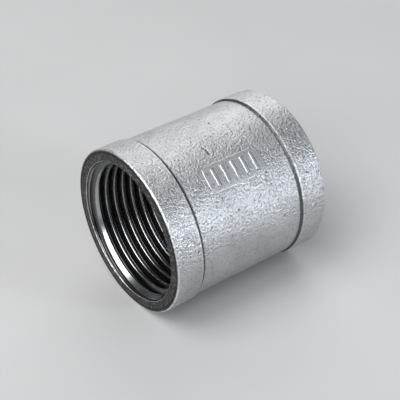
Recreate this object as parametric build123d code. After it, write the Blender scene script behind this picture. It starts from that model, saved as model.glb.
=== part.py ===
from build123d import *
from build123d.topology import SkipClean
import math
import os

# Banded pipe coupling, nominal size 1: one casting with a parallel pipe thread in each end.
# The axis of the coupling is X, up is +Z and the origin is on the axis at mid-length.

# Driving dimensions of the casting, mm
length = 41.5
band_radius = 19.5
band_width = 6.5
barrel_radius = 19.05
foot_radius = 0.5
shoulder_radius = 0.4
corner_radius = 0.45
lip_radius = 0.15

# Parallel pipe thread of size 1: Whitworth form, eleven threads to the inch
pitch = 25.4 / 11
crest_radius = 30.291 / 2
root_radius = 33.249 / 2
flank_angle = 27.5
flat_width = pitch / 6
thread_zone_length = 17.0
skin_behind_root = 0.075
mouth_slope = 32
end_slope = 45
cutter_overrun = 0.3

# Size mark: a raised panel wrapped on the barrel, with a row of plain raised bars on it
mark_length = 15.4
mark_width = 6.6
mark_corner = 1.8
mark_angle = 51.5
panel_height = 0.18
bar_height = 0.4
bar_count = 5
bar_spacing = 2.6
bar_length = 4.6
bar_width = 1.0

# Sizes that follow
half_length = length / 2
bore_radius = root_radius + skin_behind_root


def casting():
    """The barrel, its two bands, both end faces and the plain bore behind the threads."""
    rise = band_radius - barrel_radius
    slope = math.degrees(math.acos(1 - rise / (foot_radius + shoulder_radius)))
    run = (foot_radius + shoulder_radius) * math.sin(math.radians(slope))
    foot_x = half_length - band_width - run
    with BuildSketch() as section:
        with BuildLine():
            barrel = Line((0, barrel_radius), (foot_x, barrel_radius))
            foot = JernArc(barrel @ 1, (1, 0), foot_radius, slope)
            shoulder = JernArc(foot @ 1, foot % 1, shoulder_radius, -slope)
            band = Line(shoulder @ 1, (half_length - corner_radius, band_radius))
            corner = JernArc(band @ 1, (1, 0), corner_radius, -90)
            face = Line(corner @ 1, (half_length, bore_radius + lip_radius))
            lip = JernArc(face @ 1, (0, -1), lip_radius, -90)
            Polyline(lip @ 1, (0, bore_radius), (0, barrel_radius))
        make_face()
        mirror(about=Plane.YZ)
    return revolve(section.sketch, Axis.X)


def plain_ring():
    """The wall of the tapped zone before the thread is cut, standing on Z."""
    on_base = (Align.CENTER, Align.CENTER, Align.MIN)
    wall = Cylinder(bore_radius, thread_zone_length, align=on_base)
    return wall - Cylinder(crest_radius, thread_zone_length, align=on_base)


def thread_groove():
    """The screw-shaped groove between the crests, running out past both ends of the ring."""
    widening = 2 * math.tan(math.radians(flank_angle))
    inner_radius = crest_radius - cutter_overrun
    inner_half = (flat_width + widening * (root_radius - inner_radius)) / 2
    cutter = Polygon(
        (inner_radius, -inner_half),
        (root_radius, -flat_width / 2),
        (root_radius, flat_width / 2),
        (inner_radius, inner_half),
        align=None,
    )
    path = Helix(pitch, thread_zone_length + 2 * pitch, root_radius)
    return Pos(0, 0, -pitch) * sweep(Plane.XZ * cutter, path, is_frenet=True)


def countersink(slope):
    """The cone that opens the base of the ring out to its outer edge, at an angle to the axis."""
    tangent = math.tan(math.radians(slope))
    below = (0, -cutter_overrun)
    outer = (bore_radius + cutter_overrun * tangent, -cutter_overrun)
    tip = (0, bore_radius / tangent)
    return revolve(Plane.XZ * Polygon(below, outer, tip, align=None), Axis.Z)


def in_quarters(solid):
    """The same solid with its faces divided at every quarter turn, so that each crest is a short strip."""
    pieces = [solid]
    for turn in (45, 135):
        cut = Plane.XZ.rotated((0, 0, turn))
        halves = [split(piece, bisect_by=cut, keep=Keep.BOTH) for piece in pieces]
        pieces = [piece for both in halves for piece in both.solids()]
    return pieces[0].fuse(*pieces[1:])


def thread():
    """The tapped zone at the +X end, with its mouth just inside the end face."""
    mouth = Pos(0, 0, thread_zone_length) * Rot(180, 0, 0) * countersink(mouth_slope)
    with SkipClean():
        ring = in_quarters(plain_ring().cut(thread_groove()).cut(countersink(end_slope), mouth))
    mouth_at = half_length - lip_radius
    return Pos(mouth_at - thread_zone_length, 0, 0) * Rot(0, 90, 0) * ring


def shell(height):
    """The space from the barrel's surface out to a height above it, over the length of the mark."""
    outer = Cylinder(barrel_radius + height, mark_length, rotation=(0, 90, 0))
    return outer - Cylinder(barrel_radius, mark_length, rotation=(0, 90, 0))


def size_mark():
    """The raised panel and its bars, wrapped on the side of the barrel."""
    panel_outline = RectangleRounded(mark_length, mark_width, mark_corner)
    bar = SlotOverall(bar_length, bar_width, rotation=90)
    bars_outline = Sketch(GridLocations(bar_spacing, 0, bar_count, 1) * bar)
    panel = extrude(panel_outline, band_radius) & shell(panel_height)
    bars = extrude(bars_outline, band_radius) & shell(bar_height)
    return Rot(90 - mark_angle, 0, 0) * (panel + bars)


coupling = {
    "coupling_body": casting(),
    "thread_right": thread(),
    "size_mark": size_mark(),
}
coupling["thread_left"] = Rot(0, 0, 180) * coupling["thread_right"]

os.makedirs("parts", exist_ok=True)
for name, piece in coupling.items():
    export_step(piece, f"parts/{name}.step")
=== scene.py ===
import bmesh
import bpy
import math
import random
import numpy as np
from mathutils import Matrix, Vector, kdtree, noise


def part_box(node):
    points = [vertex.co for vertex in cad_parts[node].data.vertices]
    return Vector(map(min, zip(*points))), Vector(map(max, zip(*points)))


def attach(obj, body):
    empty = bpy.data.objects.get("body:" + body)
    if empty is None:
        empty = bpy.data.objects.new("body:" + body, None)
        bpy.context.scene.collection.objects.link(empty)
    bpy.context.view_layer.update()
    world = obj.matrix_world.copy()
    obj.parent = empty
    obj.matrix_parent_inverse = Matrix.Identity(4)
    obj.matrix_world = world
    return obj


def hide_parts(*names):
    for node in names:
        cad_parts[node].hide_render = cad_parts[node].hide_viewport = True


# A cast stainless steel pipe coupling with a band round each end, lying on a plain pale floor.
# The axis of the coupling is X, up is +Z, and every length is in metres.

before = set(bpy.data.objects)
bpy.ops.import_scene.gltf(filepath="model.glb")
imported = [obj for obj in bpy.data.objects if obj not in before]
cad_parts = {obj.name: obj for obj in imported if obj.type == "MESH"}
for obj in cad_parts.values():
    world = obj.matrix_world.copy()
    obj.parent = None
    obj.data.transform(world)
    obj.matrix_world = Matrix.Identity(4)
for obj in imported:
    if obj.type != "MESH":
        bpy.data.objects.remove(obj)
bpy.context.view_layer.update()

mm = 0.001

# Sizes read from the frame
casting_low, casting_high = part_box("coupling_body")
thread_low, thread_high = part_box("thread_right")
half_length = casting_high.x
band_radius = casting_high.z
floor_height = casting_low.z
bore_radius = thread_high.z
mouth_x = thread_high.x
thread_end_x = thread_low.x

# Sizes of the casting, as in its CAD model
band_width = 6.5 * mm
barrel_radius = 19.05 * mm
foot_radius = 0.5 * mm
shoulder_radius = 0.4 * mm
corner_radius = 0.45 * mm
lip_radius = 0.15 * mm
band_x = half_length - band_width

# Parallel pipe thread of size 1, with the rounded crests and roots of the real form.
# thread_shift moves its turns along the axis, and broken_edge rounds it where it meets a countersink.
pitch = 25.4 / 11 * mm
crest_radius = 30.291 / 2 * mm
root_radius = 33.249 / 2 * mm
rounding = 0.137329 * pitch
flank_angle = math.radians(27.5)
mouth_slope = math.radians(32)
thread_shift = 0.5 * mm
broken_edge = 0.1 * mm

# Size mark: a raised panel with a row of plain bars. Its middle is mark_angle up the barrel from -Y
mark_length = 15.4 * mm
mark_width = 6.6 * mm
mark_corner = 1.8 * mm
mark_angle = math.radians(51.5)
panel_height = 0.18 * mm
bar_height = 0.4 * mm
bar_count = 5
bar_spacing = 2.6 * mm
bar_length = 4.6 * mm
bar_width = 1.0 * mm
soft_edge = 0.22 * mm
sunk_rim = 0.08 * mm
mark_underside = barrel_radius - 0.3 * mm

# Unevenness of the cast skin, and of the edge that tapping leaves. The layers of each fractal are
# how fast they fade, how much finer each one is than the last, and how many there are
wave_length = 5 * mm
wave_height = 0.035 * mm
ripple_length = 0.9 * mm
ripple_height = 0.009 * mm
ripple_layers = (0.8, 2.1, 3)
burr_length = 0.8 * mm
burr_height = 0.07 * mm
burr_layers = (0.9, 2.0, 2)

# Flaws of the cast skin. A place is x in mm, and degrees round the axis from +Y towards +Z
scattered_flaws = 70
flaw_reach = 0.97
smallest_flaw = 0.22 * mm
largest_flaw = 0.5 * mm
flaw_steepness = (0.12, 0.16, 0.22, -0.1)
gouge_places = ((-3.6, 106.5), (-3.3, 108.2), (-3.2, 110), (-3.3, 111.8))
gouge_size = 0.42 * mm
gouge_depth = 0.3 * mm
bead_place = (16.9, 174)
bead_size = 0.6 * mm
bead_height = 0.3 * mm

# Fineness of the meshes, and the angles in degrees above which an edge is drawn sharp
skin_step = 0.26 * mm
skin_columns = 432
bore_step = 2 * mm
thread_columns = 256
flank_step = 0.2 * mm
rounding_steps = 4
mark_step = 0.06 * mm
casting_crease = 40
thread_crease = 50
mark_crease = 60


# ---------------------------------------------------------------- mesh helpers

def grid_faces(rows, columns, wrap_rows=False, wrap_columns=False):
    """Quads between neighbouring points of a grid that is numbered row by row."""
    index = np.arange(rows * columns).reshape(rows, columns)
    if wrap_rows:
        index = np.vstack([index, index[:1]])
    if wrap_columns:
        index = np.hstack([index, index[:, :1]])
    corners = index[:-1, :-1], index[:-1, 1:], index[1:, 1:], index[1:, :-1]
    return np.stack(corners, axis=-1).reshape(-1, 4)


def shade(mesh, crease):
    """Shades a mesh smooth, apart from edges that turn by more than the crease angle."""
    mesh.shade_smooth()
    mesh.set_sharp_from_angle(angle=math.radians(crease))


def piece(node, points, faces, material, crease):
    """An object on the coupling that stands for the CAD node of the same name."""
    mesh = bpy.data.meshes.new(node)
    mesh.from_pydata([tuple(p) for p in points], [], [tuple(map(int, f)) for f in faces])
    mesh.validate()
    shade(mesh, crease)
    mesh.materials.append(material)
    made = bpy.data.objects.new(node, mesh)
    bpy.context.scene.collection.objects.link(made)
    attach(made, "root")
    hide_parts(node)
    return made


def line(start, end, step):
    """Evenly spaced points from start towards end, without end itself."""
    count = max(1, round(math.dist(start, end) / step))
    return [tuple(np.array(start) + (np.array(end) - start) * i / count) for i in range(count)]


def arc(centre, radius, start, end, count):
    """Points round an arc between two angles in degrees, without its last point."""
    turns = [math.radians(start + (end - start) * i / count) for i in range(count)]
    return [(centre[0] + radius * math.cos(t), centre[1] + radius * math.sin(t)) for t in turns]


def around_axis(x, radius, angle):
    """Points at a radius and an angle about the X axis, counted from +Y towards +Z."""
    return np.stack(np.broadcast_arrays(x, radius * np.cos(angle), radius * np.sin(angle)), axis=-1)


# ---------------------------------------------------------------- casting skin

def cast_waviness(point):
    """How far the cast skin stands off its true shape: a slow wave, with a finer ripple on it."""
    wave = noise.noise(Vector(point) / wave_length)
    ripple = noise.fractal(Vector(point) / ripple_length, *ripple_layers)
    return wave_height * wave + ripple_height * ripple


def mouth_burr(point):
    """The ragged edge that facing and tapping leave round each mouth."""
    return burr_height * noise.fractal(Vector(point) / burr_length, *burr_layers)


def on_skin(x, angle):
    """The point of the smooth casting at a place along the axis and an angle round it."""
    return around_axis(x, band_radius if abs(x) > band_x else barrel_radius, angle)


def casting_flaws():
    """Pits and beads left by the mould, as (point on the skin, radius, depth). A bead's depth is below 0."""
    draw = random.Random(23)
    flaws = []
    for _ in range(scattered_flaws):
        x = draw.uniform(-flaw_reach, flaw_reach) * half_length
        angle = draw.uniform(0, 2 * math.pi)
        size = draw.uniform(smallest_flaw, largest_flaw)
        flaws.append((on_skin(x, angle), size, size * draw.choice(flaw_steepness)))
    placed = [(place, gouge_size, gouge_depth) for place in gouge_places]
    placed.append((bead_place, bead_size, -bead_height))
    for (x, degrees), size, depth in placed:
        flaws.append((on_skin(x * mm, math.radians(degrees)), size, depth))
    return flaws


def press_flaws(points):
    """Moves the points of the skin towards the axis at each pit, and away from it at each bead."""
    tree = kdtree.KDTree(len(points))
    for i, point in enumerate(points):
        tree.insert(point, i)
    tree.balance()
    for centre, size, depth in casting_flaws():
        for point, i, distance in tree.find_range(centre, size):
            towards_axis = -Vector((0, point.y, point.z)).normalized()
            points[i] += np.array(towards_axis) * depth * (1 - (distance / size) ** 2) ** 2


def casting_outline():
    """The closed section of the casting as points (x, radius), and how each one is roughened."""
    rise = band_radius - barrel_radius
    slope = math.degrees(math.acos(1 - rise / (foot_radius + shoulder_radius)))
    run = (foot_radius + shoulder_radius) * math.sin(math.radians(slope))
    foot_x = band_x - run
    corner_x = half_length - corner_radius
    face_top = (half_length, band_radius - corner_radius)
    face_bottom = (half_length, bore_radius + lip_radius)
    lip_x = half_length - lip_radius
    skin = line((0, barrel_radius), (foot_x, barrel_radius), skin_step)
    skin += arc((foot_x, barrel_radius + foot_radius), foot_radius, -90, slope - 90, count=5)
    skin += arc((band_x, band_radius - shoulder_radius), shoulder_radius, 90 + slope, 90, count=5)
    skin += line((band_x, band_radius), (corner_x, band_radius), skin_step)
    skin += arc((corner_x, band_radius - corner_radius), corner_radius, 90, 0, count=6)
    skin += line(face_top, face_bottom, skin_step)
    lip = arc((lip_x, bore_radius + lip_radius), lip_radius, 0, -90, count=4)
    bore = line((lip_x, bore_radius), (0, bore_radius), bore_step)
    half = skin + lip + bore
    mirrored = [(-x, r) for x, r in reversed(half[1:])]
    roughening = [cast_waviness] * len(skin) + [mouth_burr] * len(lip) + [None] * len(bore)
    return half + [(0, bore_radius)] + mirrored, roughening + [None] + roughening[:0:-1]


def coupling_body(material):
    """The cast wall with both bands, turned from its section and roughened as a casting is."""
    outline, roughening = casting_outline()
    section = np.array(outline)
    along = np.roll(section, -1, axis=0) - np.roll(section, 1, axis=0)
    outward = np.stack([-along[:, 1], along[:, 0]], axis=-1)
    outward /= np.linalg.norm(outward, axis=1)[:, None]
    angle = np.arange(skin_columns) * 2 * math.pi / skin_columns
    points = around_axis(section[:, :1], section[:, 1:], angle[None, :])
    normals = around_axis(outward[:, :1], outward[:, 1:], angle[None, :])
    for row, roughen in enumerate(roughening):
        if roughen:
            for column in range(skin_columns):
                points[row, column] += normals[row, column] * roughen(points[row, column])
    points = points.reshape(-1, 3)
    press_flaws(points)
    faces = grid_faces(len(outline), skin_columns, wrap_rows=True, wrap_columns=True)
    return piece("coupling_body", points, faces, material, casting_crease)


# ---------------------------------------------------------------- threads

def thread_wave():
    """The thread's section from one crest to the next, as (distance along the axis, radius)."""
    tip = math.pi / 2 - flank_angle
    steps = [tip * i / rounding_steps for i in range(-rounding_steps, rounding_steps + 1)]
    bulge = [(rounding * math.sin(t), rounding * (1 - math.cos(t))) for t in steps]
    crest = [(x, crest_radius + r) for x, r in bulge]
    root = [(pitch / 2 + x, root_radius - r) for x, r in bulge]
    down = line(crest[-1], root[0], flank_step)[1:]
    up = line(root[-1], (crest[0][0] + pitch, crest[0][1]), flank_step)[1:]
    return np.array(crest + down + root + up)


def rounded_max(a, b, blend):
    """The larger of two radii, with the corner where they cross broken by a small round."""
    close = np.maximum(blend - np.abs(a - b), 0) / blend
    return np.maximum(a, b) + close * close * blend / 4


def thread(node, side, material):
    """A tapped zone with its countersinks. Side is +1 for the +X end and -1 for the other."""
    wave = thread_wave()
    turns_before = 2.5
    turns_to_spare = 4
    turns = math.ceil((mouth_x - thread_end_x) / pitch) + turns_to_spare
    wave_x = np.concatenate([wave[:, 0] + pitch * k for k in range(turns)])
    wave_r = np.tile(wave[:, 1], turns)
    turn = np.arange(thread_columns + 1) / thread_columns
    start_x = thread_end_x - turns_before * pitch + thread_shift
    x = start_x + wave_x[:, None] + pitch * turn[None, :]
    inside = np.clip(x, thread_end_x, mouth_x)
    mouth_cone = bore_radius - (mouth_x - inside) * math.tan(mouth_slope)
    end_cone = bore_radius - (inside - thread_end_x)
    radius = rounded_max(wave_r[:, None], np.maximum(mouth_cone, end_cone), broken_edge)
    radius = np.where(inside == x, np.minimum(radius, bore_radius), bore_radius)
    angle = 2 * math.pi * turn - math.pi / 2
    points = around_axis(inside, radius, angle[None, :]).reshape(-1, 3)
    points *= (side, side, 1)
    faces = grid_faces(len(wave_x), thread_columns + 1)
    made = piece(node, points, faces, material, thread_crease)
    close_thread(made.data)
    return made


def close_thread(mesh):
    """Joins the turns into one skin, drops what lies past the ends, and adds the hidden outer wall."""
    weld = 0.002 * mm
    sliver = 0.001 * mm
    form = bmesh.new()
    form.from_mesh(mesh)
    bmesh.ops.remove_doubles(form, verts=form.verts, dist=weld)
    bmesh.ops.dissolve_degenerate(form, edges=form.edges, dist=sliver)
    loose = [v for v in form.verts if not v.link_faces]
    bmesh.ops.delete(form, geom=loose, context="VERTS")
    open_edges = [e for e in form.edges if e.is_boundary]
    bmesh.ops.bridge_loops(form, edges=open_edges)
    bmesh.ops.recalc_face_normals(form, faces=form.faces)
    form.to_mesh(mesh)
    form.free()
    shade(mesh, thread_crease)


# ---------------------------------------------------------------- size mark

def inside_slot(x, y, half_x, half_y, corner):
    """How far a point is inside a rounded rectangle, below 0 outside it."""
    over_x = np.abs(x) - (half_x - corner)
    over_y = np.abs(y) - (half_y - corner)
    outside = np.hypot(np.maximum(over_x, 0), np.maximum(over_y, 0))
    return corner - outside - np.minimum(np.maximum(over_x, over_y), 0)


def swell(distance, width):
    """Rises from 0 to 1 over a width, level at both ends."""
    t = np.clip(distance / width, 0, 1)
    return t * t * (3 - 2 * t)


def mark_height(x, y):
    """Height of the mark above the barrel: a soft-edged panel with a row of plain rounded bars on it."""
    panel = swell(inside_slot(x, y, mark_length / 2, mark_width / 2, mark_corner), soft_edge)
    bars = np.zeros_like(panel)
    for i in range(bar_count):
        centre = (i - (bar_count - 1) / 2) * bar_spacing
        bar = inside_slot(x - centre, y, bar_width / 2, bar_length / 2, bar_width / 2)
        bars = np.maximum(bars, swell(bar, soft_edge))
    return (panel_height + sunk_rim) * panel + (bar_height - panel_height) * bars - sunk_rim


def closing_faces(rim, first, columns, rows):
    """The walls and the underside of the mark. The points under its rim are numbered from first, in turn."""
    count = len(rim)
    last_corner = 2 * columns + rows
    faces = []
    for i in range(count):
        after = (i + 1) % count
        faces.append((rim[after], rim[i], first + i, first + after))
    for i in range(columns):
        across = first + last_corner - i
        faces.append((first + i, first + i + 1, across - 1, across))
    for corner in (columns, last_corner):
        faces.append([first + (corner + i) % count for i in range(rows + 1)])
    return faces


def size_mark(material):
    """The raised mark, wrapped on the barrel and closed underneath, inside the metal."""
    columns = round(mark_length / mark_step)
    rows = round(mark_width / mark_step)
    x = np.linspace(-mark_length / 2, mark_length / 2, columns + 1)[None, :]
    y = np.linspace(-mark_width / 2, mark_width / 2, rows + 1)[:, None]
    angle = math.pi - mark_angle - y / barrel_radius
    points = around_axis(x, barrel_radius + mark_height(x, y), angle)
    outward = around_axis(0, 1, angle[:, 0])
    for row in range(rows + 1):
        for column in range(columns + 1):
            points[row, column] += outward[row] * cast_waviness(points[row, column])
    under = around_axis(x, mark_underside, angle).reshape(-1, 3)
    top = np.arange((rows + 1) * (columns + 1)).reshape(rows + 1, columns + 1)
    rim = np.concatenate([top[0, :-1], top[:-1, -1], top[-1, :0:-1], top[:0:-1, 0]])
    all_points = np.vstack([points.reshape(-1, 3), under[rim]])
    faces = [tuple(f) for f in grid_faces(rows + 1, columns + 1)]
    faces += closing_faces(rim, top.size, columns, rows)
    return piece("size_mark", all_points, faces, material, mark_crease)


# ---------------------------------------------------------------- materials

def grey(value):
    """A colour with equal parts. As a factor, 1 leaves a tone as it is and less makes it darker."""
    return (value, value, value)


def steel(value):
    """A grey with the faint blue of stainless steel."""
    return (value, value * 1.01, value * 1.03)


clean = grey(1.0)


class Nodes:
    """Short calls for adding and joining the nodes of one material. Noise and cell scales are per metre."""

    def __init__(self, name):
        self.material = bpy.data.materials.new(name)
        self.material.use_nodes = True
        self.tree = self.material.node_tree
        self.shader = self.tree.nodes["Principled BSDF"]

    def add(self, kind, settings=None, **inputs):
        """A new node with its settings and inputs. Inputs are named as put says, with _ for a space."""
        node = self.tree.nodes.new(kind)
        for key, value in (settings or {}).items():
            setattr(node, key, value)
        for key, value in inputs.items():
            self.put(node, key.replace("_", " "), value)
        return node

    def put(self, node, key, value):
        """Links or sets an input. Its key is its name, or i0, i1 and so on for its place in the list."""
        numbered = key[0] == "i" and key[1:].isdigit()
        socket = node.inputs[int(key[1:]) if numbered else key]
        if isinstance(value, bpy.types.NodeSocket):
            self.tree.links.new(value, socket)
        else:
            socket.default_value = value

    def coordinates(self, kind="Object"):
        """The place on the coupling, or for "Normal" the way that its surface faces there."""
        return self.add("ShaderNodeTexCoord").outputs[kind]

    def noise(self, scale, detail, roughness):
        """Smooth random values, most of them between 0.3 and 0.7."""
        settings = {"Scale": scale, "Detail": detail, "Roughness": roughness}
        return self.add("ShaderNodeTexNoise", Vector=self.coordinates(), **settings).outputs["Fac"]

    def cells(self, scale):
        """The distance from the nearest of many scattered points."""
        return self.add("ShaderNodeTexVoronoi", Vector=self.coordinates(), Scale=scale).outputs["Distance"]

    def ramp(self, value, *stops):
        """A colour that changes with a value, given as (value, colour) stops."""
        node = self.add("ShaderNodeValToRGB", Fac=value)
        elements = node.color_ramp.elements
        while len(elements) < len(stops):
            elements.new(0.5)
        for element, (place, colour) in zip(elements, stops):
            element.position = place
            element.color = (*colour, 1)
        return node.outputs["Color"]

    def mix(self, amount, first, second, way="MIX"):
        """Two colours put together. A Mix node's colours are its inputs 6 and 7 and its output 2."""
        settings = {"data_type": "RGBA", "blend_type": way}
        return self.add("ShaderNodeMix", settings, i0=amount, i6=first, i7=second).outputs[2]

    def tint(self, tone, value, *stops):
        """The tone multiplied by a colour that changes with a value."""
        return self.mix(1.0, tone, self.ramp(value, *stops), "MULTIPLY")

    def tint_where(self, tone, amount, colour):
        """The tone as it is where the amount is 0, and multiplied by the colour where it is 1."""
        return self.mix(1.0, tone, self.mix(amount, (*clean, 1), colour), "MULTIPLY")

    def math(self, operation, first, second=0.0):
        return self.add("ShaderNodeMath", {"operation": operation}, i0=first, i1=second).outputs[0]

    def vector_math(self, operation, **inputs):
        return self.add("ShaderNodeVectorMath", {"operation": operation}, **inputs)

    def between(self, value, low, high):
        """0 at low, 1 at high and level past both. Low may be the larger of the two."""
        return self.add("ShaderNodeMapRange", i0=value, i1=low, i2=high).outputs[0]

    def from_axis(self):
        """The way from the axis straight out to the place, as a vector."""
        return self.vector_math("MULTIPLY", i0=self.coordinates(), i1=(0, 1, 1)).outputs[0]

    def radius(self, low, high):
        """0 at one radius from the axis and 1 at another."""
        length = self.vector_math("LENGTH", i0=self.from_axis()).outputs["Value"]
        return self.between(length, low, high)

    def along_axis(self, kind):
        """The part of the coordinates that lies along the axis, without its sign."""
        parts = self.add("ShaderNodeSeparateXYZ", Vector=self.coordinates(kind))
        return self.math("ABSOLUTE", parts.outputs["X"])

    def end_face(self):
        """1 on the flat ends and 0 on the rest."""
        return self.between(self.along_axis("Normal"), 0.9, 0.97)

    def ring(self, place, inner, outer):
        """1 near a place along the axis, on both sides of the middle, and 0 past the outer distance."""
        away = self.math("ABSOLUTE", self.math("SUBTRACT", self.along_axis("Object"), place))
        return self.between(away, outer, inner)

    def lean(self):
        """0 where the surface faces straight out from the axis and 1 where it is steep to that."""
        out = self.vector_math("NORMALIZE", i0=self.from_axis()).outputs[0]
        facing = self.vector_math("DOT_PRODUCT", i0=out, i1=self.coordinates("Normal"))
        return self.between(facing.outputs["Value"], 0.97, 0.8)

    def bump(self, height, distance, normal=None):
        """The way the surface faces when a height of 1 stands this far off it, on top of another bump."""
        node = self.add("ShaderNodeBump", Height=height, Distance=distance, Strength=1.0)
        if normal is not None:
            self.put(node, "Normal", normal)
        return node.outputs["Normal"]


def cast_metal(name, light, dark, grain):
    """Blasted cast steel with clouds between two greys, and pinholes. Grain is how rough its sand is, in mm.

    Returns its nodes and its tone, which is not yet joined to the shader.
    """
    metal = Nodes(name)
    sand = metal.noise(2000, 2, 0.6)
    unevenness = metal.noise(1100, 2, 0.5)
    pinholes = metal.ramp(metal.cells(330), (0.04, grey(0.0)), (0.1, clean))
    tone = metal.ramp(metal.noise(140, 4, 0.6), (0.32, steel(dark)), (0.68, steel(light)))
    # The sand's low places are painted darker, as painted shade in the grain's hollows.
    tone = metal.tint(tone, sand, (0.3, grey(0.55)), (0.46, clean))
    tone = metal.tint(tone, unevenness, (0.25, grey(0.75)), (0.38, clean))
    # Each pinhole is painted dark inside, as painted shade.
    tone = metal.tint(tone, pinholes, (0.0, grey(0.3)), (1.0, clean))
    rough = metal.ramp(metal.noise(1500, 3, 0.6), (0.3, grey(0.32)), (0.75, grey(0.47)))
    metal.put(metal.shader, "Metallic", 1.0)
    metal.put(metal.shader, "Roughness", rough)
    normal = metal.bump(sand, grain * mm)
    normal = metal.bump(unevenness, 0.3 * grain * mm, normal)
    normal = metal.bump(pinholes, 0.05 * mm, normal)
    metal.put(metal.shader, "Normal", normal)
    return metal, tone


def cast_skin():
    """The casting's own skin, with painted shade on its ends, in corners and in deep pits, and painted
    highlights round its edges.
    """
    metal, tone = cast_metal("cast_skin", light=0.55, dark=0.44, grain=0.25)
    # The flat ends are painted dark in speckles, as painted shade standing in for the dark that they
    # reflect.
    speckled_face_shade = (0.35, grey(0.04)), (0.5, grey(0.09)), (0.66, grey(0.42))
    tone = metal.tint_where(tone, metal.end_face(), metal.ramp(metal.noise(1900, 3, 0.7), *speckled_face_shade))
    # A narrow ring in each corner where the barrel meets a band is painted dark, as painted shade.
    corner = metal.ring(band_x - 0.55 * mm, 0.22 * mm, 0.5 * mm)
    tone = metal.tint(tone, corner, (0.0, clean), (1.0, grey(0.24)))
    # Metal this far below the barrel's surface is in the gouge, in deep pits and in a ring on each end face.
    # It is painted dark there, as painted shade.
    depth = metal.radius(barrel_radius - 0.6 * mm, barrel_radius - 0.05 * mm)
    deep_shade = grey(0.2)
    tone = metal.tint(tone, depth, (0.0, clean), (0.1, deep_shade), (0.78, deep_shade), (1.0, clean))
    # A thin ring round each band's shoulder is painted brighter, as a painted highlight.
    shoulder_highlight = metal.ring(band_x, 0.08 * mm, 0.22 * mm)
    tone = metal.tint(tone, shoulder_highlight, (0.0, clean), (1.0, grey(1.25)))
    # A thin ring near each end, over its outer corner and the mouth's lip, is painted brighter, as a painted
    # highlight.
    edge = metal.ring(half_length - 0.2 * mm, 0.08 * mm, 0.2 * mm)
    tone = metal.tint(tone, edge, (0.0, clean), (1.0, grey(1.5)))
    metal.put(metal.shader, "Base Color", tone)
    return metal.material


def cast_mark():
    """The skin on the mark. The sides of its panel and bars are painted dark low down, as painted shade, and
    painted bright above, as painted highlight.
    """
    metal, tone = cast_metal("cast_mark", light=0.6, dark=0.52, grain=0.12)
    foot_shade = grey(0.25)
    rim_highlight = grey(1.4)
    # Painted shade low on each side of the panel and bars, and a painted highlight above it.
    panel_side = (0.0, foot_shade), (0.1, foot_shade), (0.3, rim_highlight), (0.42, rim_highlight)
    bar_side = (0.46, foot_shade), (0.65, foot_shade), (0.9, rim_highlight)
    height = metal.radius(barrel_radius, barrel_radius + bar_height)
    tone = metal.tint_where(tone, metal.lean(), metal.ramp(height, *panel_side, *bar_side))
    metal.put(metal.shader, "Base Color", tone)
    return metal.material


def cut_thread(name):
    """Tapped steel with fine lines along the thread. Its greys are dark, and darker still on the flanks and
    towards the roots, all as painted shade; the crests keep the lighter grey.
    """
    metal = Nodes(name)
    # Dark greys, as painted shade inside the bore.
    tone = metal.ramp(metal.noise(400, 3, 0.6), (0.3, steel(0.38)), (0.7, steel(0.48)))
    # Flanks that face along the axis are painted darker, as a painted dark reflection.
    tone = metal.tint(tone, metal.along_axis("Normal"), (0.6, clean), (0.8, grey(0.3)))
    # Painted darker towards the thread roots, as painted shade.
    tone = metal.tint(tone, metal.radius(crest_radius, root_radius), (0.78, clean), (0.95, grey(0.2)))
    metal.put(metal.shader, "Base Color", tone)
    metal.put(metal.shader, "Metallic", 1.0)
    squeezed = metal.add("ShaderNodeMapping", Vector=metal.coordinates(), Scale=(5000, 300, 300))
    place = squeezed.outputs["Vector"]
    lines = metal.add("ShaderNodeTexNoise", Vector=place, Scale=1.0, Detail=2.0).outputs["Fac"]
    metal.put(metal.shader, "Roughness", metal.ramp(lines, (0.3, grey(0.24)), (0.7, grey(0.32))))
    metal.put(metal.shader, "Normal", metal.bump(lines, 0.0006 * mm))
    return metal.material


def floor_paint():
    """A plain pale floor with a barely visible unevenness."""
    paint = Nodes("pale_floor")
    tone = paint.ramp(paint.noise(12, 3, 0.5), (0.3, grey(0.39)), (0.7, grey(0.42)))
    paint.put(paint.shader, "Base Color", tone)
    paint.put(paint.shader, "Roughness", 0.75)
    return paint.material


# ---------------------------------------------------------------- the coupling

coupling_body(cast_skin())
for node, side in (("thread_left", -1), ("thread_right", 1)):
    thread(node, side, cut_thread("cut_" + node))
size_mark(cast_mark())


# ---------------------------------------------------------------- stage, lights and camera

light_distance = 0.9
cool = (0.88, 0.93, 1.0)
white = (1.0, 1.0, 1.0)


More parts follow.
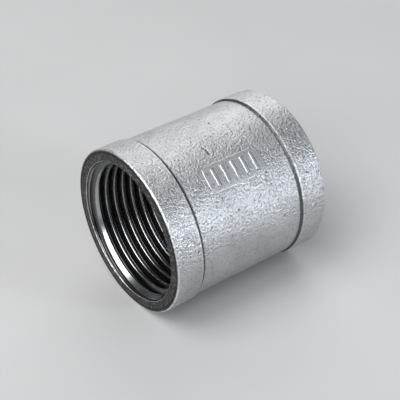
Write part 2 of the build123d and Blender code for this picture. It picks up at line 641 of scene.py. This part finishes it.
def floor():
    """A square of floor that the coupling lies on."""
    reach = 3.0
    corners = (-reach, -reach), (reach, -reach), (reach, reach), (-reach, reach)
    mesh = bpy.data.meshes.new("floor")
    mesh.from_pydata([(x, y, floor_height) for x, y in corners], [], [(0, 1, 2, 3)])
    mesh.materials.append(floor_paint())
    made = bpy.data.objects.new("floor", mesh)
    bpy.context.scene.collection.objects.link(made)


def look_from(name, data, azimuth, elevation, distance):
    """A light or a camera that faces the origin. Azimuth 0 is towards -Y and 90 towards +X."""
    made = bpy.data.objects.new(name, data)
    turn = math.radians(azimuth)
    tilt = math.radians(elevation)
    direction = math.sin(turn) * math.cos(tilt), -math.cos(turn) * math.cos(tilt), math.sin(tilt)
    made.location = distance * Vector(direction)
    made.rotation_euler = (-made.location).to_track_quat("-Z", "Y").to_euler()
    bpy.context.scene.collection.objects.link(made)
    return made


def softbox(name, azimuth, elevation, width, height, power, colour=white):
    """A rectangular light, with its direction in degrees, its size in metres and its power in watts."""
    light = bpy.data.lights.new(name, "AREA")
    light.shape = "RECTANGLE"
    light.color = colour
    light.size = width
    light.size_y = height
    light.energy = power
    look_from(name, light, azimuth, elevation, light_distance)


def studio():
    """Soft lights round the coupling, and a faint cool light from everywhere."""
    world = bpy.data.worlds.new("studio")
    world.use_nodes = True
    background = world.node_tree.nodes["Background"]
    background.inputs["Color"].default_value = (*cool, 1)
    background.inputs["Strength"].default_value = 0.08
    bpy.context.scene.world = world
    softbox("low_behind", 150, 12, 0.9, 0.35, 1.0)
    softbox("behind", 142, 38, 0.6, 0.5, 2.2)
    softbox("above_behind", 125, 62, 0.6, 0.6, 0.6)
    softbox("front_above", 48, 50, 0.5, 0.5, 0.6, cool)
    softbox("grain_light", 28, 14, 0.18, 0.18, 3.2, cool)
    softbox("thread_light", -60, 42, 0.7, 0.8, 8.0)
    softbox("lower_thread_light", -100, 60, 0.5, 0.6, 5.0)
    softbox("overhead", -160, 82, 0.5, 0.5, 0.8)


def camera():
    """The photo's viewpoint, in front of the -X mouth and above it."""
    view = bpy.data.cameras.new("camera")
    view.sensor_width = 36
    view.lens = 98
    view.shift_x = -0.004
    view.shift_y = -0.004
    view.clip_start = 0.01
    bpy.context.scene.camera = look_from("camera", view, azimuth=-37, elevation=36.8, distance=0.251)


floor()
studio()
camera()
bpy.context.scene.view_settings.view_transform = "Standard"
